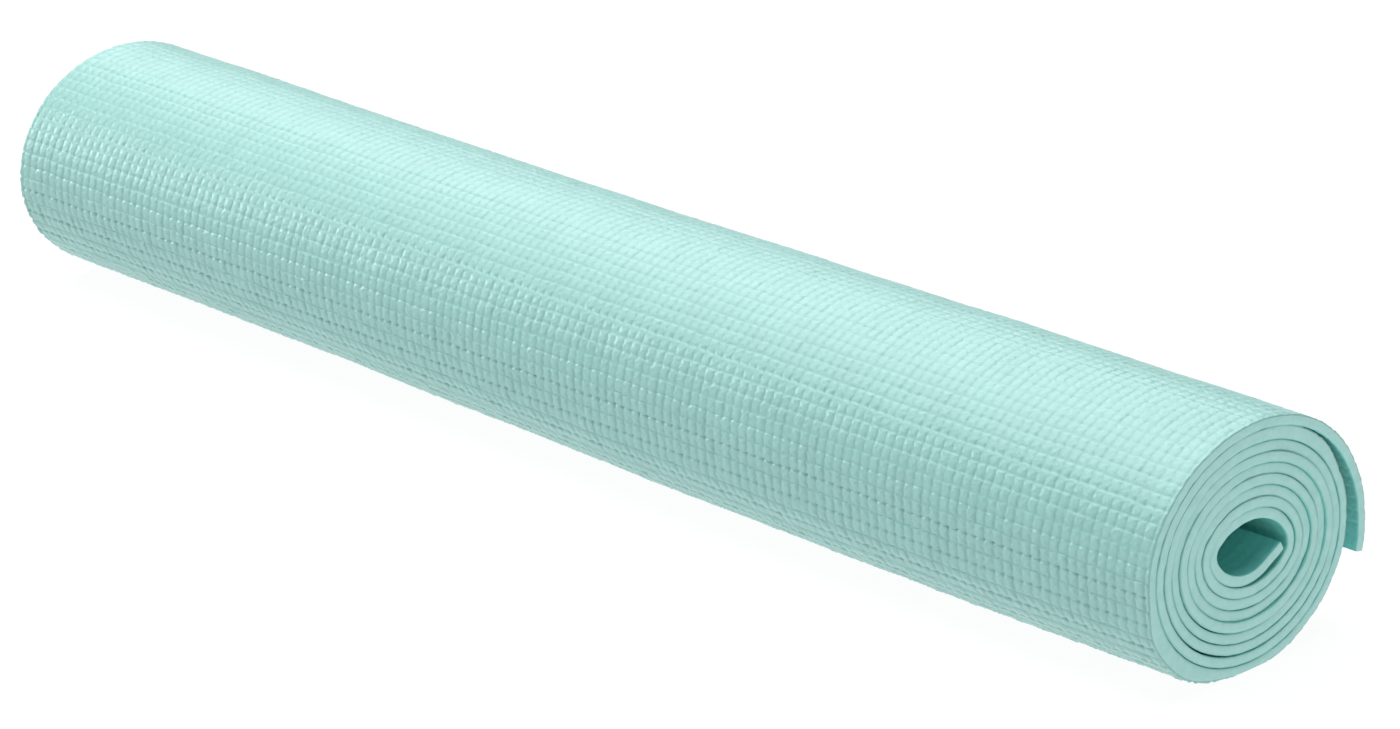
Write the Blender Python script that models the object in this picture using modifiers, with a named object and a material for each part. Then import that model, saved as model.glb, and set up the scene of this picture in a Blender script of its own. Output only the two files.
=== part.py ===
"""A rolled foam exercise mat, lying on its side with its last bit of length standing loose.

Metres, +Z up. X runs along the roll. The origin is under the middle of the roll, on the surface
that it rests on. The mat is a laminate of three sheets that wind up together: foam on the side
that faces out, a thin scrim cloth, and foam on the side that faces the core.

The winding is drawn by its normal direction. A turn's distance from the centre, measured along
that direction, is the core's own plus one pitch for each full turn wound before it. Every turn
is then parallel to the one inside it, and all layers of the mat are exact offsets of one line.
"""

import math

import bpy

# The mat as it is cut
MAT_WIDTH = 0.610
MAT_LENGTH = 1.830
FOAM_THICKNESS = 0.0013
SCRIM_THICKNESS = 0.0003
LAYER_GAP = 0.0003

# The winding
CORE_RADIUS = 0.01375
CORE_OVAL_SHARE = 0.29
CORE_TILT = math.radians(-7)
TURN_GAP = 0.000575
SLACK_SHARE = 0.2
SLACK_DIRECTION = math.radians(-47)
POINTS_PER_TURN = 36

# The inner end, which leans off the turn around it and runs out straight into the core
BEND_START = math.radians(-60)
LEAN_ANGLE = math.radians(60)
LEAN_SHARE = 0.133
STRAIGHT_SHARE = 0.74

# The loose outer end
TAIL_ANGLE = math.radians(150)
TAIL_LIFT = 0.0074
LIFT_POWER = 2.2

# What the mat lies on
REST_FLAT_DEPTH = 0.0005
CUT_OVERRUN = 0.005

LAMINATE_THICKNESS = 2 * FOAM_THICKNESS + SCRIM_THICKNESS + 2 * LAYER_GAP
TURN_PITCH = LAMINATE_THICKNESS + TURN_GAP
FULL_TURN = 2 * math.pi
ANGLE_STEP = FULL_TURN / POINTS_PER_TURN


def clear_scene():
    for thing in list(bpy.data.objects):
        bpy.data.objects.remove(thing, do_unlink=True)


def collection(name):
    group = bpy.data.collections.new(name)
    bpy.context.scene.collection.children.link(group)
    return group


def material(name, colour, roughness, metallic=0.0):
    finish = bpy.data.materials.new(name)
    finish.use_nodes = True
    shader = finish.node_tree.nodes["Principled BSDF"]
    shader.inputs["Base Color"].default_value = (*colour, 1.0)
    shader.inputs["Roughness"].default_value = roughness
    shader.inputs["Metallic"].default_value = metallic
    finish.diffuse_color = (*colour, 1.0)
    return finish


def reach(wound, end):
    """Distance of the mat's middle line from the centre along its normal, after an angle wound.

    The normal turns clockwise from +Y. The core is a pointed oval, the pitch is a little wider
    where the turns lie slack, the first part leans inward and the last part lifts outward.
    """
    normal = -wound
    core = CORE_RADIUS * (1 + CORE_OVAL_SHARE * math.cos(2 * (normal - CORE_TILT)))
    slack = SLACK_SHARE * TURN_GAP * math.cos(normal - SLACK_DIRECTION)
    lean = LEAN_SHARE * CORE_RADIUS * max(0.0, 1 - (wound + BEND_START) / LEAN_ANGLE) ** LIFT_POWER
    lift = TAIL_LIFT * max(0.0, 1 - (end - wound) / TAIL_ANGLE) ** LIFT_POWER
    return core + (TURN_PITCH + slack) * wound / FULL_TURN - lean + lift


def point_on_winding(wound, end, offset):
    """The point with the normal -wound on the line that lies at an offset from the middle line."""
    small = ANGLE_STEP / 1000
    slope = (reach(wound - small, end) - reach(wound + small, end)) / (2 * small)
    height = reach(wound, end) + offset
    across = math.cos(wound)
    up = -math.sin(wound)
    return (height * across - slope * up, height * up + slope * across)


def line_of_mat(end, offset):
    """Points of one line of the mat, from its inner tip to its outer end.

    The bend's points lie on the same normals in every turn, so that facets stay parallel.
    """
    first = math.ceil(-BEND_START / ANGLE_STEP + 0.5)
    last = math.floor(end / ANGLE_STEP - 0.5)
    angles = [-BEND_START] + [k * ANGLE_STEP for k in range(first, last + 1)] + [end]
    bend = [point_on_winding(angle, end, offset) for angle in angles]
    straight = STRAIGHT_SHARE * CORE_RADIUS
    across, up = bend[0]
    tip = (across - straight * math.sin(BEND_START), up + straight * math.cos(BEND_START))
    return [tip] + bend


def length_of(line):
    return sum(math.dist(a, b) for a, b in zip(line, line[1:]))


def angle_that_uses(length):
    """The angle at which the winding has used up the mat's length, found by halving."""
    low = TAIL_ANGLE - BEND_START
    high = low + FULL_TURN
    while length_of(line_of_mat(high, 0.0)) < length:
        high += FULL_TURN
    while high - low > ANGLE_STEP / 1000:
        middle = (low + high) / 2
        if length_of(line_of_mat(middle, 0.0)) < length:
            low = middle
        else:
            high = middle
    return high


def distance_to_segment(point, a, b):
    along = (b[0] - a[0], b[1] - a[1])
    share = ((point[0] - a[0]) * along[0] + (point[1] - a[1]) * along[1]) / (along[0] ** 2 + along[1] ** 2)
    share = min(1.0, max(0.0, share))
    return math.hypot(point[0] - a[0] - share * along[0], point[1] - a[1] - share * along[1])


def least_gap_between_turns(end):
    """Least gap from the outward face of a turn to the inward face of the turn around it."""
    outward = line_of_mat(end, LAMINATE_THICKNESS / 2)
    inward = line_of_mat(end, -LAMINATE_THICKNESS / 2)
    least = MAT_LENGTH
    for k, point in enumerate(outward):
        for n in range(k + POINTS_PER_TURN // 2, len(inward) - 1):
            least = min(least, distance_to_segment(point, inward[n], inward[n + 1]))
    return least


def sheet(name, line, shift, thickness, group, finish):
    """A layer of the mat: a ribbon along a line given as (across, up), as wide as the mat is."""
    curve = bpy.data.curves.new(name, "CURVE")
    curve.dimensions = "2D"
    curve.fill_mode = "NONE"
    curve.extrude = MAT_WIDTH / 2
    spline = curve.splines.new("POLY")
    spline.points.add(len(line) - 1)
    for place, (across, up) in zip(spline.points, line):
        place.co = (across + shift[0], up + shift[1], 0.0, 1.0)
    drawn = bpy.data.objects.new(name + "_line", curve)
    drawn.rotation_euler = (math.pi / 2, 0.0, math.pi / 2)
    group.objects.link(drawn)
    bpy.context.view_layer.update()

    evaluated = drawn.evaluated_get(bpy.context.evaluated_depsgraph_get())
    mesh = bpy.data.meshes.new_from_object(evaluated)
    mesh.name = name
    mesh.materials.clear()
    mesh.materials.append(finish)
    piece = bpy.data.objects.new(name, mesh)
    piece.matrix_world = drawn.matrix_world
    group.objects.link(piece)
    bpy.data.objects.remove(drawn, do_unlink=True)

    body = piece.modifiers.new("thickness", "SOLIDIFY")
    body.thickness = thickness
    body.offset = 0.0
    body.use_even_offset = True
    return piece


def shade_round(piece):
    piece.data.shade_smooth()
    piece.data.set_sharp_from_angle(angle=ANGLE_STEP * 2)


def rest_cutter(width, group):
    """A block whose top is the surface that the mat lies on."""
    bpy.ops.mesh.primitive_cube_add(size=1.0, location=(0.0, 0.0, -CUT_OVERRUN))
    cutter = bpy.context.object
    cutter.name = "rest_flat_cutter"
    cutter.dimensions = (MAT_WIDTH + 2 * CUT_OVERRUN, width, 2 * CUT_OVERRUN)
    bpy.ops.object.transform_apply(location=False, rotation=False, scale=True)
    for other in list(cutter.users_collection):
        other.objects.unlink(cutter)
    group.objects.link(cutter)
    cutter.hide_render = True
    cutter.display_type = "WIRE"
    return cutter


def cut(piece, cutter):
    modifier = piece.modifiers.new("rest_flat", "BOOLEAN")
    modifier.operation = "DIFFERENCE"
    modifier.solver = "EXACT"
    modifier.object = cutter


def main():
    clear_scene()
    parts = collection("yoga_mat")
    cutters = collection("cutters")
    foam = material("mint_foam", (0.38, 0.66, 0.62), 0.5)
    scrim = material("white_scrim", (0.80, 0.82, 0.79), 0.8)

    end = angle_that_uses(MAT_LENGTH)
    outside = line_of_mat(end, LAMINATE_THICKNESS / 2)
    across = [place[0] for place in outside]
    lowest = min(place[1] for place in outside)
    shift = (-(min(across) + max(across)) / 2, -lowest - REST_FLAT_DEPTH)

    foam_middle = SCRIM_THICKNESS / 2 + LAYER_GAP + FOAM_THICKNESS / 2
    layers = (
        ("outward_foam", foam_middle, FOAM_THICKNESS, foam),
        ("reinforcing_scrim", 0.0, SCRIM_THICKNESS, scrim),
        ("inward_foam", -foam_middle, FOAM_THICKNESS, foam),
    )
    made = {}
    for name, middle, thickness, finish in layers:
        made[name] = sheet(name, line_of_mat(end, middle), shift, thickness, parts, finish)
        shade_round(made[name])
    cut(made["outward_foam"], rest_cutter(max(across) - min(across), cutters))

    print(f"turns {(end / FULL_TURN):.2f}, pitch {TURN_PITCH * 1000:.2f} mm")
    print(f"mat length {length_of(line_of_mat(end, 0.0)) * 1000:.1f} mm")
    print(f"least gap between turns {least_gap_between_turns(end) * 1000:.3f} mm")


main()
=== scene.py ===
"""Looks of a rolled foam exercise mat: its grips, its cut edges, its foam and the studio.

Metres, +Z up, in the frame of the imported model. The mat is one sheet, and it is built as lengths
of that sheet laid end to end. Their borders lie in the grooves between rows of grips.

A point of the sheet is given by x across it, which is the frame's X, by s, the length of sheet
from the inner tip to it, and by its offset from the middle line, positive on the outward face.
The angle wound grows from the core to the loose end.
"""

import math

import bpy
import numpy as np
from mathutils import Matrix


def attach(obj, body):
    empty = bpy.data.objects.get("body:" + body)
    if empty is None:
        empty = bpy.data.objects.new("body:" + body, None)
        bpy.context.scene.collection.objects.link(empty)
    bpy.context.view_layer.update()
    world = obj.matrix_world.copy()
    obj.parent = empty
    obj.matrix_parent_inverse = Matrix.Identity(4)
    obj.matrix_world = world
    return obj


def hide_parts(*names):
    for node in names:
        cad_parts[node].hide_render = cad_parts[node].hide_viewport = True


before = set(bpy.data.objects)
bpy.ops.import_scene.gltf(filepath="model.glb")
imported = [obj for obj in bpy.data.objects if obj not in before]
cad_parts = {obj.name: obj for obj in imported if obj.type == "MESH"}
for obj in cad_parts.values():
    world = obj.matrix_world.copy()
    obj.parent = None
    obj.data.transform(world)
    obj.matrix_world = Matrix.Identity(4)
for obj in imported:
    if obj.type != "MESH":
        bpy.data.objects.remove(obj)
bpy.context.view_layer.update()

# The mat as it is cut
MAT_WIDTH = 0.610
MAT_THICKNESS = 0.0035

# The winding, as the frame's solids have it, with its angles in radians
CORE_RADIUS = 0.01375
CORE_OVAL_SHARE = 0.29
CORE_TILT = math.radians(-7)
TURN_GAP = 0.000575
TURN_PITCH = MAT_THICKNESS + TURN_GAP
SLACK_SHARE = 0.2
SLACK_DIRECTION = math.radians(-47)
BEND_START = math.radians(-60)
LEAN_ANGLE = math.radians(60)
LEAN_SHARE = 0.133
STRAIGHT_SHARE = 0.74
TAIL_ANGLE = math.radians(150)
TAIL_LIFT = 0.0074
LIFT_POWER = 2.2
END_ANGLE = 56.739
REST_FLAT_DEPTH = 0.0005

# How finely the middle line and its slope are worked out
LINE_STEPS = 12000
SLOPE_FINENESS = 10

# Ranges of degrees wound: how long one takes to set in or end, and the start of one that has none
BLEND_DEGREES = 24
NO_START = -math.inf
TURN_DEGREES = 360

# Gaps that stand open between turns: from and to, in degrees wound, and how far they open
OPEN_GAPS = (
    (310, 382, 0.00026),
    (670, 704, 0.00018),
    (862, 930, 0.00028),
    (1379, 1479, 0.00024),
    (1906, 1985, 0.00028),
    (2264, 2345, 0.00030),
    (2600, 2665, 0.00024),
)

# How much of the solids' gap the foam closes elsewhere
USUAL_CLOSING = 0.00036

# Where the turns press on each other, in degrees up from +Y: gaps close further and lose most of their
# painted shade
PRESSED_FROM = 98
PRESSED_TO = 160
PRESSED_CLOSING = 0.00006
PRESSED_SHADE_SHARE = 0.7

# Where a turn first lies on another, and where another last lies on it, in degrees wound
FIRST_COVERING = 330
LAST_COVERED = 2800

# How far the turn under the loose end swells after it as it starts to lift, up to an angle wound
MOST_SWELLING = 0.0013
SWELLS_TO = 2840

# The slack low flank: how far it bulges, its middle and half width in x, its range of degrees wound
FLANK_BULGE = 0.0032
FLANK_ACROSS = (0.17, 0.42)
FLANK_WOUND = (2992, 3040)

# The sagging top, given like the flank
TOP_SAG = 0.0013
TOP_ACROSS = (-0.07, 0.30)
TOP_WOUND = (3145, 3215)

# The grips' pitch, which follows the mesh of the scrim inside
PITCH_ACROSS = 0.00427
PITCH_ALONG = 0.00495

# The nodes of a grip, as shares of its pitch, and how near before a groove one counts as past it
ACROSS_SHARES = (0.0, 0.08, 0.22, 0.48, 0.76, 0.91)
ALONG_SHARES = (0.0, 0.12, 0.29, 0.46, 0.62, 0.77, 0.87, 0.95)
ROUNDING_SHARE = 1e-6

# The arches that make up a grip: where they peak and how flat their tops are
PEAK_ACROSS_SHARE = 0.48
PEAK_ALONG_SHARE = 0.6
FLATNESS_ACROSS = 2.2
FLATNESS_ALONG = 4.0

# How much of a grip's height, and of its tone, the grooves between rows take away: the tone paints
# shade into the grooves
ROW_GROOVE_SHARE = 0.62
ROW_GROOVE_SHADE_SHARE = 0.35

# A low lip along each row of grips, on the side of the loose end
LIP_PLACE_SHARE = 0.88
LIP_WIDTH_SHARE = 0.06
LIP_SHARE = 0.10

# The weave of the threads under the foam: its height, its swing sideways and its waves
WEAVE_SHARE = 0.23
ZIGZAG = -0.00025
WEAVES_PER_ROW = 1.5

# How unevenly the grips are moulded
HEIGHT_SPREAD_SHARE = 0.12
TILT_SPREAD_SHARE = 0.20
MOST_SPREADS = 2
CRINKLE_SHARE = 0.08
CRINKLE_WAVELENGTHS = (0.0018, 0.0034)

# The tables that this unevenness is drawn into: a seed for each face, and their size in grips
GRIP_SEEDS = (41, 42)
GRIP_TABLE = (150, 380)

# How unevenly the sheet lies: threads wander, turns shift sideways, the surface sways, cuts waver
THREAD_WANDER = 0.0001
THREAD_WAVELENGTHS = (0.012, 0.05)
THREAD_SEEDS = (51, 52)
TURN_SHIFT = 0.00022
SHIFT_WAVELENGTHS = (0.07, 0.4)
SHIFT_SEED = 53
SWAY = 0.00008
SWAY_WAVELENGTHS = (0.03, 0.12)
SWAY_SEED = 54
CUT_WAVER = 0.00008
CUT_WAVELENGTHS = (0.006, 0.03)
CUT_SEED = 55

# The cut edges: how they are rounded, and how the cut bulges between its two rims
EDGE_RADIUS = 0.00020
EDGE_ANGLES = (math.radians(45), math.radians(90))
CUT_NODE_SHARE = 0.3
CUT_BULGE = 0.00010
CUT_TOLERANCE = EDGE_RADIUS / 100

# Borders between lengths: the flat foot of a grip there, as a share of a row, and what stays sharp
BORDER_FOOT_SHARE = 0.01
SHARP_ANGLE = math.radians(60)

# The grips of a face: how many cells deep from the mat's sides, or None for all of it, and how high
RIM = (1, 0.00006)
DEEP = (15, 0.00012)
LOOSE_INSIDE = (None, 0.00024)
OUTSIDE = (None, 0.00042)

# How many nodes span the hidden middle of a face whose grips stop short
HIDDEN_NODES = 5

# Where outward grips stand higher, on the slack flank, and lower, on the stretched top: range, share
GRIP_GAINS = (
    (2985, 3066, 0.75),
    (3112, 3400, -0.12),
)

# Lengths of the sheet: name, first and last row of grips, outward face and inward face
LENGTHS = (
    ("core_length", 0, 24, DEEP, DEEP),
    ("inner_turns_first", 24, 158, RIM, RIM),
    ("inner_turns_second", 158, 292, RIM, RIM),
    ("outer_turn_first", 292, 303, OUTSIDE, RIM),
    ("outer_turn_second", 303, 314, OUTSIDE, RIM),
    ("outer_turn_third", 314, 325, OUTSIDE, RIM),
    ("outer_turn_fourth", 325, 336, OUTSIDE, RIM),
    ("outer_turn_fifth", 336, 346, OUTSIDE, RIM),
    ("loose_end_first", 346, 352, OUTSIDE, LOOSE_INSIDE),
    ("loose_end_second", 352, 358, OUTSIDE, LOOSE_INSIDE),
    ("loose_end_third", 358, 364, OUTSIDE, LOOSE_INSIDE),
    ("loose_end_tip", 364, 371, OUTSIDE, LOOSE_INSIDE),
)

# The skins of the two faces: name, colour in the grooves with painted shade, colour on the grips, gloss
SKINS = (
    ("foam_skin", (0.269, 0.542, 0.506, 1), (0.334, 0.614, 0.579, 1), 0.5),
    # Painted shade: the inward skin's deeper teal stands in for light scattered in the shaded inside of
    # the roll
    ("foam_skin_inward_painted_shade", (0.205, 0.655, 0.610, 1), (0.225, 0.700, 0.655, 1), 0.3),
)

# What the skins share: their painted shade next to a gap, their mottle and the fine grain of the foam
SKIN_RIM_PAINTED_SHADE = (0.26, 0.60, 0.55, 1)
SKIN_MOTTLE = {"Scale": 70.0, "Detail": 3.0, "Roughness": 0.6}
SKIN_MOTTLE_RANGE = (0.92, 1.08)
SKIN_GRAIN = {"Scale": 750.0, "Detail": 1.5, "Roughness": 0.5}
SKIN_BUMP = {"Strength": 0.8, "Distance": 0.00022}
SKIN_ROUGHNESS_RANGE = (0.26, 0.40)

# The cut edges' finish: its mottle, the mottle's colours by place, its painted shade next to a gap, its
# cells
CUT_MOTTLE = {"Scale": 260.0, "Detail": 4.0, "Roughness": 0.65}
CUT_COLOURS = (
    (0.3, (0.435, 0.790, 0.745, 1)),
    (0.7, (0.515, 0.860, 0.815, 1)),
)
CUT_RIM_PAINTED_SHADE = (0.33, 0.70, 0.65, 1)
CUT_RIM_SHADE_POWER = 3.0
CUT_CELLS = {"Scale": 2200.0}
CUT_BUMP = {"Strength": 0.5, "Distance": 0.0001}
CUT_ROUGHNESS = 0.85

# The order of a length's materials
OUTWARD_SLOT = 0
INWARD_SLOT = 1
CUT_SLOT = 2

# The camera, fitted to the photograph
CAMERA_PLACE = (1.35442, -1.31845, 0.74377)
CAMERA_AZIMUTH = 0.78656
CAMERA_ELEVATION = 0.36077
CAMERA_FOCAL_PIXELS = 5279.6
CAMERA_REACH = 20
IMAGE_WIDTH_PIXELS = 1400
SENSOR_WIDTH_MM = 36

# Soft boxes: name, place, size across and up, and power in watts
SOFT_BOXES = (
    ("soft_box_above", (-0.9, -0.2, 3.3), (4.4, 4.4), 182),
    ("soft_box_left", (-5.6, -1.7, 1.25), (3.6, 2.1), 150),
    ("soft_box_back", (-2.3, 2.0, 1.8), (2.2, 1.6), 24),
    ("soft_box_end", (3.2, -0.2, 1.0), (1.6, 1.6), 12),
)
SOFT_BOX_AIM = (0, 0, 0.05)
WORLD_STRENGTH = 0.12

# The floor, which glows so that it stays white around the mat's shadow
FLOOR_HALF_WIDTH = 6.0
FLOOR_DROP = 0.0001
FLOOR_GLOW = 0.93
FLOOR_WHITE = 0.10
FLOOR_ROUGHNESS = 0.9


class Waves:
    """Smooth noise of unit spread over the sheet, as a sum of plane waves."""

    COUNT = 9

    def __init__(self, seed, wavelengths):
        draw = np.random.default_rng(seed)
        headings = draw.uniform(0, 2 * math.pi, self.COUNT)
        numbers = 2 * math.pi / draw.uniform(*wavelengths, self.COUNT)
        self.across = numbers * np.cos(headings)
        self.along = numbers * np.sin(headings)
        self.phase = draw.uniform(0, 2 * math.pi, self.COUNT)

    def at(self, x, s):
        waves = zip(self.across, self.along, self.phase)
        return sum(np.sin(x * a + s * b + c) for a, b, c in waves) / math.sqrt(self.COUNT / 2)


def lift(wound):
    """How far the loose end stands off the turn inside it."""
    return TAIL_LIFT * (1 - (END_ANGLE - wound) / TAIL_ANGLE).clip(0, None) ** LIFT_POWER


def reach(wound):
    """Distance of the mat's middle line from the centre along its normal, as the frame has it."""
    normal = -wound
    core = CORE_RADIUS * (1 + CORE_OVAL_SHARE * np.cos(2 * (normal - CORE_TILT)))
    slack = SLACK_SHARE * TURN_GAP * np.cos(normal - SLACK_DIRECTION)
    leaning = (1 - (wound + BEND_START) / LEAN_ANGLE).clip(0, None)
    lean = LEAN_SHARE * CORE_RADIUS * leaning ** LIFT_POWER
    return core + (TURN_PITCH + slack) * wound / (2 * math.pi) - lean + lift(wound)


def middle_line():
    """The mat's middle line from its inner tip: length used, place in Y and Z, normal, angle wound."""
    wound = np.linspace(-BEND_START, END_ANGLE, LINE_STEPS)
    small = (wound[1] - wound[0]) / SLOPE_FINENESS
    slope = (reach(wound - small) - reach(wound + small)) / (2 * small)
    normal = np.stack([np.cos(wound), -np.sin(wound)], 1)
    back = np.stack([np.sin(wound), np.cos(wound)], 1)
    place = reach(wound)[:, None] * normal + slope[:, None] * back

    tip = place[0] + STRAIGHT_SHARE * CORE_RADIUS * back[0]
    place = np.concatenate([tip[None], place])
    normal = np.concatenate([normal[:1], normal])
    wound = np.concatenate([wound[:1], wound])

    outside = place + normal * MAT_THICKNESS / 2
    place[:, 0] -= (outside[:, 0].min() + outside[:, 0].max()) / 2
    place[:, 1] -= outside[:, 1].min() + REST_FLAT_DEPTH
    used = np.concatenate([[0.0], np.cumsum(np.linalg.norm(np.diff(place, axis=0), axis=1))])
    return used, place, normal, wound


USED, PLACE, NORMAL, WOUND = middle_line()
MAT_LENGTH = float(USED[-1])


def at_length(table, s):
    """The value of a table along the middle line, at lengths s from the inner tip."""
    return np.stack([np.interp(s, USED, table[:, k]) for k in range(table.shape[1])], -1)


def degrees_wound(s):
    return np.degrees(np.interp(s, USED, WOUND))


def smooth(share):
    """A share from 0 to 1 that sets out and arrives gently."""
    return share * share * (3 - 2 * share)


def hump(angle, first, last):
    """1 between two angles in degrees, and 0 outside them, with a gentle change at each."""
    rise = ((angle - first) / BLEND_DEGREES + 0.5).clip(0, 1)
    fall = ((last - angle) / BLEND_DEGREES + 0.5).clip(0, 1)
    return smooth(rise) * smooth(fall)


def fade(x, middle, half_width):
    """1 at a place across the mat, easing to 0 at a distance on both sides of it."""
    return np.cos(((x - middle) / half_width).clip(-1, 1) * math.pi / 2) ** 2


def covered_by_next(s):
    """1 where another turn lies on the outward face, at lengths s from the inner tip, else 0."""
    return hump(degrees_wound(s), NO_START, LAST_COVERED)


def covers_last(s):
    """1 where the inward face lies on another turn, at lengths s from the inner tip, else 0."""
    return hump(degrees_wound(s), FIRST_COVERING, LAST_COVERED + TURN_DEGREES)


def pressed(s):
    """1 where the turns press on each other, at lengths s from the inner tip, else 0."""
    return hump(-degrees_wound(s) % TURN_DEGREES, PRESSED_FROM, PRESSED_TO)


def gap_change(s):
    """How far the outward face draws back from the next turn, at lengths s from the inner tip."""
    degrees = degrees_wound(s)
    opened = sum(hump(degrees, first, last) * far for first, last, far in OPEN_GAPS)
    closed = (USUAL_CLOSING + PRESSED_CLOSING * pressed(s)) * covered_by_next(s)
    swollen = np.minimum(lift(np.radians(degrees + TURN_DEGREES)), MOST_SWELLING)
    return opened - closed - swollen * hump(degrees, NO_START, SWELLS_TO)


def grip_gain(s):
    """The outward grips' height at lengths s from the inner tip, as a share of the usual."""
    degrees = degrees_wound(s)
    return 1 + sum(hump(degrees, first, last) * more for first, last, more in GRIP_GAINS)


def slack_shape(x, s, offset):
    """How far the slack outer turn stands out from the winding: its low flank, its sagging top."""
    degrees = degrees_wound(s)
    flank = FLANK_BULGE * fade(x, *FLANK_ACROSS) * hump(degrees, *FLANK_WOUND) * (offset > 0)
    return flank - TOP_SAG * fade(x, *TOP_ACROSS) * hump(degrees, *TOP_WOUND)


def dome(place, peak, flatness):
    """The height at a place from 0 to 1 of an arch that is 1 at its peak and 0 at both its feet.

    The greater the flatness, the flatter the arch's top and the sharper its shoulders.
    """
    return 1 - np.abs((place - peak) / np.where(place < peak, peak, 1 - peak)) ** flatness


class Grips:
    """The raised grips of one face of the sheet, by places x across it and s along it."""

    def __init__(self, seed):
        draw = np.random.default_rng(seed)
        spread = draw.standard_normal((3, *GRIP_TABLE)).clip(-MOST_SPREADS, MOST_SPREADS)
        self.height = 1 + HEIGHT_SPREAD_SHARE * spread[0]
        self.tilt_across = TILT_SPREAD_SHARE * spread[1]
        self.tilt_along = TILT_SPREAD_SHARE * spread[2]
        self.crinkle = Waves(seed, CRINKLE_WAVELENGTHS)

    def at(self, x, s):
        """Height above the grooves as a share of a grip's, and tone for the grooves' painted shade,
        from 0 in a groove to 1.
        """
        column = np.floor(x / PITCH_ACROSS + ROUNDING_SHARE)
        row = np.floor(s / PITCH_ALONG + ROUNDING_SHARE)
        u = (x / PITCH_ACROSS - column).clip(0, 1)
        v = (s / PITCH_ALONG - row).clip(0, 1)
        rise_u = dome(u, PEAK_ACROSS_SHARE, FLATNESS_ACROSS)
        rise_v = dome(v, PEAK_ALONG_SHARE, FLATNESS_ALONG)
        # Painted shade: the tone darkens the colour in the grooves
        tone = rise_u * (1 - ROW_GROOVE_SHADE_SHARE * (1 - rise_v))

        cell = (column.astype(int) % GRIP_TABLE[0], row.astype(int) % GRIP_TABLE[1])
        up = (1 - ROW_GROOVE_SHARE) * rise_u + ROW_GROOVE_SHARE * rise_v
        top = self.height[cell] + self.tilt_across[cell] * (u - 0.5) + self.tilt_along[cell] * (v - 0.5)
        lip = rise_u * np.exp(-((v - LIP_PLACE_SHARE) / LIP_WIDTH_SHARE) ** 2)
        weave = np.cos(2 * math.pi * (u - PEAK_ACROSS_SHARE))
        weave = weave * np.cos(2 * math.pi * WEAVES_PER_ROW * s / PITCH_ALONG)
        height = up * (top + CRINKLE_SHARE * self.crinkle.at(x, s))
        return height + LIP_SHARE * lip + WEAVE_SHARE * weave, tone


FACES = [Grips(seed) for seed in GRIP_SEEDS]
THREADS_ACROSS, THREADS_ALONG = [Waves(seed, THREAD_WAVELENGTHS) for seed in THREAD_SEEDS]
SHIFTS = Waves(SHIFT_SEED, SHIFT_WAVELENGTHS)
SWAYS = Waves(SWAY_SEED, SWAY_WAVELENGTHS)
CUTS = Waves(CUT_SEED, CUT_WAVELENGTHS)


def face_nodes(depth):
    """Nodes across one face: their places, and 1 where the grips are drawn, else 0."""
    side = MAT_WIDTH / 2 - EDGE_RADIUS
    most = math.ceil(side / PITCH_ACROSS)
    cells = np.arange(-most, most)
    places = ((cells[:, None] + np.array(ACROSS_SHARES)) * PITCH_ACROSS).ravel()
    places = places[np.abs(places) < side - EDGE_RADIUS]
    if depth is None:
        drawn = np.ones(len(places))
    else:
        hidden = side - depth * PITCH_ACROSS
        shown = places[np.abs(places) > hidden]
        places = np.sort(np.concatenate([shown, np.linspace(-hidden, hidden, HIDDEN_NODES)]))
        drawn = (np.abs(places) > hidden).astype(float)
    return np.concatenate([[-side], places, [side]]), np.concatenate([[1], drawn, [1]])


def section(depths):
    """A section of the sheet, from its outward side at -X round to its inward side at -X.

    Four rows: each node's place across, its offset from the middle line, its share of the grips'
    height, and 1 on the rounded rims. The count of the nodes of the outward side comes with them.
    """
    half = MAT_THICKNESS / 2
    side = MAT_WIDTH / 2 - EDGE_RADIUS
    rim = [
        (side + EDGE_RADIUS * math.sin(a), half - EDGE_RADIUS * (1 - math.cos(a)), math.cos(a), 1)
        for a in EDGE_ANGLES
    ]
    rim.append((MAT_WIDTH / 2 + CUT_BULGE, half * CUT_NODE_SHARE, 0, 0))
    chains = []
    for depth in depths:
        face = [(x, half, drawn, 0) for x, drawn in zip(*face_nodes(depth))]
        chains.append([(-x, o, g, e) for x, o, g, e in reversed(rim)] + face + rim)
    outward = np.array(chains[0]).T
    inward = np.array(chains[1][::-1]).T * [[1], [-1], [1], [1]]
    return np.concatenate([outward, inward], axis=1), len(chains[0])


def stations(first, last):
    """Rings along a length of sheet: their places, where their grips are read, and how thick they are.

    The thickness is a share of the whole. A border in a groove has a flat foot, so that both sides
    of it shade alike. The mat's own two ends are cut, and rounded like its sides.
    """
    rows = np.arange(first, last)
    reads = ((rows[:, None] + np.array(ALONG_SHARES)) * PITCH_ALONG).ravel()
    start = first * PITCH_ALONG
    stop = min(last * PITCH_ALONG, MAT_LENGTH)
    if first == 0:
        reads = reads[reads > 2 * EDGE_RADIUS]
    if stop == MAT_LENGTH:
        reads = reads[reads < stop - 2 * EDGE_RADIUS]
    rings = [(s, s, 1.0) for s in reads if s > start]
    foot = BORDER_FOOT_SHARE * PITCH_ALONG
    half = MAT_THICKNESS / 2
    rounded = [
        (EDGE_RADIUS * (1 - math.cos(a)), EDGE_RADIUS * (1 - math.sin(a)))
        for a in (0, *EDGE_ANGLES)
    ]
    if first == 0:
        rings = [(inset, inset, 1 - drop / half) for drop, inset in reversed(rounded)] + rings
    else:
        rings = [(start, start, 1.0), (start + foot, start, 1.0)] + rings
    if stop == MAT_LENGTH:
        rings += [(stop - inset, stop - inset, 1 - drop / half) for drop, inset in rounded]
    else:
        rings += [(stop - foot, stop, 1.0), (stop, stop, 1.0)]
    return np.array(rings).T


def settle(points):
    """The roll's weight: nothing reaches below the floor that it lies on."""
    points[..., 2] = np.maximum(points[..., 2], 0.0)
    return points


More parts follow.
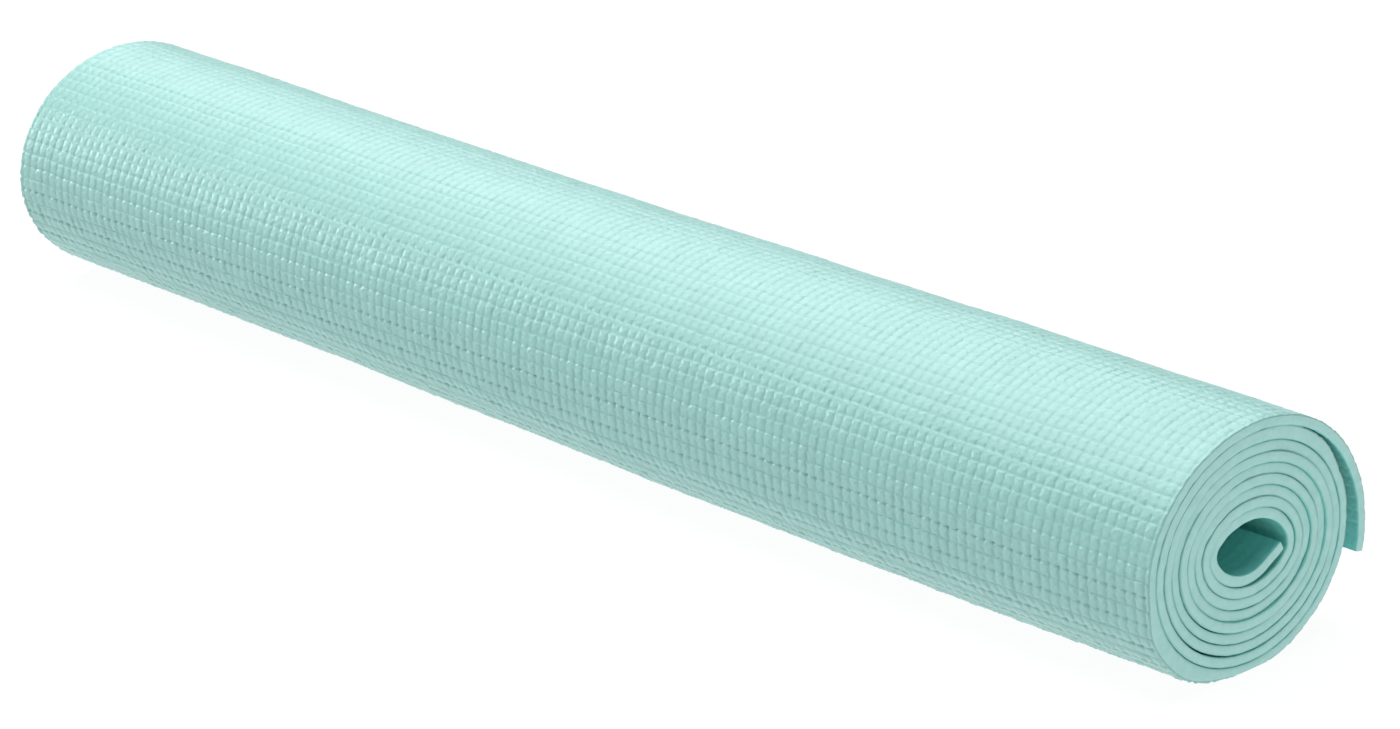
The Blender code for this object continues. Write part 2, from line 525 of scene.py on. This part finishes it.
def lay(across, offset, ring):
    """Points of the sheet at places across, offsets from the middle line and lengths along."""
    inside = ((MAT_WIDTH / 2 - np.abs(across)) / PITCH_ACROSS).clip(0, 1)
    amid = (np.minimum(ring, MAT_LENGTH - ring) / PITCH_ALONG).clip(0, 1)
    zigzag = ZIGZAG * np.sin(2 * math.pi * WEAVES_PER_ROW * ring / PITCH_ALONG)
    x = across + inside * (zigzag + THREAD_WANDER * THREADS_ACROSS.at(across, ring))
    x = x + TURN_SHIFT * SHIFTS.at(0, ring) + (1 - inside) * CUT_WAVER * CUTS.at(across, ring)
    s = ring + amid * THREAD_WANDER * THREADS_ALONG.at(across, ring)
    offset = offset + slack_shape(across, ring, offset) + SWAY * SWAYS.at(across, ring)
    yz = at_length(PLACE, s) + offset[..., None] * at_length(NORMAL, s)
    return settle(np.concatenate([x[..., None], yz], axis=-1))


def relief(across, read, faces, styles):
    """How far the grips move each node, outward being positive, and each node's tone, which sets the
    grooves' painted shade.
    """
    heights = np.zeros((len(read), len(across)))
    tones = np.zeros_like(heights)
    for grips, nodes, (_, height), side in zip(FACES, faces, styles, (1, -1)):
        share, tones[:, nodes] = grips.at(across[nodes][None], read[:, None])
        heights[:, nodes] = side * height * share
    return heights, tones


def rim_shade(ring, offset, on_rim):
    """How much painted shade each node takes from a gap: only on the rims, and only where turns touch.
    """
    share = 1 - PRESSED_SHADE_SHARE * pressed(ring)
    outward = covered_by_next(ring) * share
    inward = covers_last(ring) * share
    return np.where(offset > 0, outward[:, None], inward[:, None]) * on_rim


def ring_quads(across, offset, ring_count):
    """Four-cornered faces between all rings of a length, and the material of each."""
    count = len(across)
    this = np.arange(count)
    after = (this + 1) % count
    base = (np.arange(ring_count - 1) * count)[:, None]
    quads = np.stack([base + this, base + after, base + count + after, base + count + this], -1)
    on_cut = np.abs(across) > MAT_WIDTH / 2 - CUT_TOLERANCE
    skins = np.where(offset > 0, OUTWARD_SLOT, INWARD_SLOT)
    finishes = np.where(on_cut & on_cut[after], CUT_SLOT, skins)
    return quads.reshape(-1, 4), np.tile(finishes, ring_count - 1)


def zip_chains(upper, lower, places):
    """Triangles that fill the strip between two chains of nodes that run the same way across."""
    triangles = []
    a = b = 0
    while a < len(upper) - 1 or b < len(lower) - 1:
        ahead = b == len(lower) - 1 or (
            a < len(upper) - 1 and places[upper[a + 1]] <= places[lower[b + 1]]
        )
        if ahead:
            triangles.append((upper[a], upper[a + 1], lower[b]))
            a += 1
        else:
            triangles.append((upper[a], lower[b + 1], lower[b]))
            b += 1
    return np.array(triangles)


def cap_triangles(upper, core, lower, places):
    """Triangles that close one end of a length: the outward side, a straight core, the inward side.

    The core's nodes stand under the outward side's, without its first and last. Between them the
    cap follows every groove, however few nodes the inward side has.
    """
    chain = np.concatenate([upper[:1], core, upper[-1:]])
    first = np.stack([upper[:-2], upper[1:-1], core], 1)
    second = np.stack([upper[1:-2], core[1:], core[:-1]], 1)
    last = np.array([[upper[-2], upper[-1], core[-1]]])
    return np.concatenate([first, second, last, zip_chains(chain, lower, places)])


def caps(across, ring, outward_count):
    """The points of the two caps' cores, which follow the rings' points, and the caps' triangles."""
    count = len(across)
    amid = across[1:outward_count - 1]
    ends = np.broadcast_to(ring[[0, -1], None], (2, len(amid)))
    core_points = lay(np.broadcast_to(amid, ends.shape), np.zeros(ends.shape), ends)

    nodes = np.arange(count)
    core = count + np.arange(len(amid))
    places = np.concatenate([across, amid])
    cap = cap_triangles(nodes[:outward_count], core, nodes[outward_count:][::-1], places)
    in_ring = cap < count
    cores_start = count * len(ring)
    first = np.where(in_ring, cap, cap - count + cores_start)
    last = np.where(in_ring, cap - count, cap - count + len(amid)) + cores_start
    return core_points.reshape(-1, 3), np.concatenate([first[:, ::-1], last])


def mesh_of(name, points, faces, face_materials):
    """A mesh object from its points and from faces given as arrays of three or four corners."""
    mesh = bpy.data.meshes.new(name)
    corners = np.concatenate([f.ravel() for f in faces])
    counts = np.concatenate([np.full(len(f), f.shape[1]) for f in faces])
    mesh.vertices.add(len(points))
    mesh.vertices.foreach_set("co", points.astype(np.float32).ravel())
    mesh.loops.add(len(corners))
    mesh.loops.foreach_set("vertex_index", corners.astype(np.int32))
    mesh.polygons.add(len(counts))
    mesh.polygons.foreach_set("loop_start", (np.cumsum(counts) - counts).astype(np.int32))
    mesh.polygons.foreach_set("material_index", np.concatenate(face_materials).astype(np.int32))
    mesh.update(calc_edges=True)
    mesh.validate()
    piece = bpy.data.objects.new(name, mesh)
    bpy.context.scene.collection.objects.link(piece)
    return piece


def mark(piece, label, values):
    """A value for each point of a piece's rings, for its materials to read, and 0 for the rest."""
    layer = piece.data.attributes.new(label, "FLOAT", "POINT")
    rest = np.zeros(len(piece.data.vertices) - values.size)
    layer.data.foreach_set("value", np.concatenate([values.ravel(), rest]).astype(np.float32))


def length_of_mat(name, first, last, styles):
    """A length of the sheet from one row of grips to another, closed at both its ends."""
    (across, offset, grip_share, on_rim), outward_count = section([depth for depth, _ in styles])
    ring, read, thick_share = stations(first, last)
    outward = slice(0, outward_count)
    inward = slice(outward_count, len(across))

    heights, tones = relief(across, read, (outward, inward), styles)
    heights[:, outward] *= grip_gain(ring)[:, None]
    change = gap_change(ring)[:, None] * (offset > 0)
    raised = (offset + grip_share * heights - change) * thick_share[:, None]
    points = lay(*np.broadcast_arrays(across, raised, ring[:, None]))

    quads, quad_materials = ring_quads(across, offset, len(ring))
    core_points, triangles = caps(across, ring, outward_count)
    piece = mesh_of(
        name,
        np.concatenate([points.reshape(-1, 3), core_points]),
        (quads, triangles),
        (quad_materials, np.full(len(triangles), CUT_SLOT)),
    )
    # The grips' tone, which paints shade into the grooves
    mark(piece, "grip", tones * grip_share)
    # Painted shade on the rims that lie beside gaps between turns
    mark(piece, "rim", rim_shade(ring, offset, on_rim))
    piece.data.shade_smooth()
    piece.data.set_sharp_from_angle(angle=SHARP_ANGLE)
    for skin in SKINS:
        piece.data.materials.append(skin_material(*skin))
    piece.data.materials.append(cut_material())
    return piece


def new_material(name):
    """A new material, its shader, and functions that add a node to it and link two sockets."""
    finish = bpy.data.materials.new(name)
    finish.use_nodes = True
    tree = finish.node_tree

    def add(kind, **values):
        node = tree.nodes.new(kind)
        for key, value in values.items():
            if key in node.inputs:
                node.inputs[key].default_value = value
            else:
                setattr(node, key, value)
        return node

    return finish, tree.nodes["Principled BSDF"], add, tree.links.new


def spread_over(node, span):
    """Sets a Map Range node to give a range of values."""
    node.inputs["To Min"].default_value, node.inputs["To Max"].default_value = span
    return node


def skin_material(name, groove_shade_colour, grip_colour, gloss):
    """The foam's skin on one face: mint green, half matt, paler on the grips than in the grooves, where
    shade is painted.
    """
    if name in bpy.data.materials:
        return bpy.data.materials[name]
    finish, shader, add, link = new_material(name)
    shader.inputs["Specular IOR Level"].default_value = gloss
    where = add("ShaderNodeTexCoord")

    # Painted shade: towards the grooves the colour darkens
    grip = add("ShaderNodeAttribute", attribute_name="grip")
    tone = add("ShaderNodeValToRGB")
    tone.color_ramp.elements[0].color = groove_shade_colour
    tone.color_ramp.elements[1].color = grip_colour
    link(grip.outputs["Fac"], tone.inputs["Fac"])
    # Painted shade: rims beside a gap take a darker, deeper teal
    rim = add("ShaderNodeAttribute", attribute_name="rim")
    shaded = add("ShaderNodeMixRGB", Color2=SKIN_RIM_PAINTED_SHADE)
    link(rim.outputs["Fac"], shaded.inputs["Fac"])
    link(tone.outputs["Color"], shaded.inputs["Color1"])

    mottle = add("ShaderNodeTexNoise", **SKIN_MOTTLE)
    link(where.outputs["Object"], mottle.inputs["Vector"])
    spread = spread_over(add("ShaderNodeMapRange"), SKIN_MOTTLE_RANGE)
    link(mottle.outputs["Fac"], spread.inputs["Value"])
    colour = add("ShaderNodeVectorMath", operation="SCALE")
    link(shaded.outputs["Color"], colour.inputs["Vector"])
    link(spread.outputs["Result"], colour.inputs["Scale"])
    link(colour.outputs["Vector"], shader.inputs["Base Color"])

    grain = add("ShaderNodeTexNoise", **SKIN_GRAIN)
    link(where.outputs["Object"], grain.inputs["Vector"])
    rough = spread_over(add("ShaderNodeMapRange"), SKIN_ROUGHNESS_RANGE)
    link(grain.outputs["Fac"], rough.inputs["Value"])
    link(rough.outputs["Result"], shader.inputs["Roughness"])
    bump = add("ShaderNodeBump", **SKIN_BUMP)
    link(grain.outputs["Fac"], bump.inputs["Height"])
    link(bump.outputs["Normal"], shader.inputs["Normal"])
    return finish


def cut_material():
    """The cut edges: the same foam opened by the knife, dull, with its small cells showing."""
    if "foam_cut" in bpy.data.materials:
        return bpy.data.materials["foam_cut"]
    finish, shader, add, link = new_material("foam_cut")
    shader.inputs["Roughness"].default_value = CUT_ROUGHNESS
    where = add("ShaderNodeTexCoord")

    mottle = add("ShaderNodeTexNoise", **CUT_MOTTLE)
    link(where.outputs["Object"], mottle.inputs["Vector"])
    tone = add("ShaderNodeValToRGB")
    for stop, (place, colour) in zip(tone.color_ramp.elements, CUT_COLOURS):
        stop.position = place
        stop.color = colour
    link(mottle.outputs["Fac"], tone.inputs["Fac"])
    # Painted shade: the cut darkens towards rims beside a gap
    rim = add("ShaderNodeAttribute", attribute_name="rim")
    cut_rim_shade = add("ShaderNodeMath", operation="POWER")
    cut_rim_shade.inputs[1].default_value = CUT_RIM_SHADE_POWER
    link(rim.outputs["Fac"], cut_rim_shade.inputs[0])
    shaded = add("ShaderNodeMixRGB", Color2=CUT_RIM_PAINTED_SHADE)
    link(cut_rim_shade.outputs["Value"], shaded.inputs["Fac"])
    link(tone.outputs["Color"], shaded.inputs["Color1"])
    link(shaded.outputs["Color"], shader.inputs["Base Color"])

    cells = add("ShaderNodeTexVoronoi", **CUT_CELLS)
    link(where.outputs["Object"], cells.inputs["Vector"])
    bump = add("ShaderNodeBump", **CUT_BUMP)
    link(cells.outputs["Distance"], bump.inputs["Height"])
    link(bump.outputs["Normal"], shader.inputs["Normal"])
    return finish


def make_mat():
    """All lengths of the sheet, shown in place of the frame's three solids, which are hidden."""
    for name, first, last, outward, inward in LENGTHS:
        piece = length_of_mat(name, first, last, (outward, inward))
        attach(piece, "root")
    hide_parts("outward_foam", "reinforcing_scrim", "inward_foam")


def make_camera():
    camera = bpy.data.objects.new("camera", bpy.data.cameras.new("camera"))
    camera.location = CAMERA_PLACE
    camera.rotation_euler = (math.pi / 2 - CAMERA_ELEVATION, 0.0, CAMERA_AZIMUTH)
    camera.data.sensor_width = SENSOR_WIDTH_MM
    camera.data.sensor_fit = "HORIZONTAL"
    camera.data.lens = CAMERA_FOCAL_PIXELS / IMAGE_WIDTH_PIXELS * SENSOR_WIDTH_MM
    camera.data.clip_end = CAMERA_REACH
    bpy.context.scene.collection.objects.link(camera)
    bpy.context.scene.camera = camera


def make_floor():
    half = FLOOR_HALF_WIDTH
    corners = np.array([(-half, -half), (half, -half), (half, half), (-half, half)])
    corners = np.concatenate([corners, np.full((4, 1), -FLOOR_DROP)], axis=1)
    floor = mesh_of("floor", corners, (np.array([[0, 1, 2, 3]]),), (np.zeros(1),))
    finish, shader, _, _ = new_material("floor_white")
    shader.inputs["Base Color"].default_value = (FLOOR_WHITE, FLOOR_WHITE, FLOOR_WHITE, 1)
    shader.inputs["Roughness"].default_value = FLOOR_ROUGHNESS
    shader.inputs["Specular IOR Level"].default_value = 0.0
    shader.inputs["Emission Color"].default_value = (1, 1, 1, 1)
    shader.inputs["Emission Strength"].default_value = FLOOR_GLOW
    floor.data.materials.append(finish)


def soft_box(name, place, size, power):
    """A soft box of a size across and up, standing at a place and facing the roll."""
    data = bpy.data.lights.new(name, "AREA")
    data.shape = "RECTANGLE"
    data.size, data.size_y = size
    data.energy = power
    light = bpy.data.objects.new(name, data)
    light.location = place
    facing = np.array(SOFT_BOX_AIM) - np.array(place)
    light.rotation_euler = (
        math.atan2(math.hypot(facing[0], facing[1]), -facing[2]),
        0.0,
        math.atan2(-facing[0], facing[1]),
    )
    bpy.context.scene.collection.objects.link(light)


def make_light():
    world = bpy.data.worlds.new("studio")
    world.use_nodes = True
    world.node_tree.nodes["Background"].inputs["Color"].default_value = (1, 1, 1, 1)
    world.node_tree.nodes["Background"].inputs["Strength"].default_value = WORLD_STRENGTH
    bpy.context.scene.world = world
    for values in SOFT_BOXES:
        soft_box(*values)
    bpy.context.scene.view_settings.view_transform = "Standard"


make_mat()
make_camera()
make_floor()
make_light()
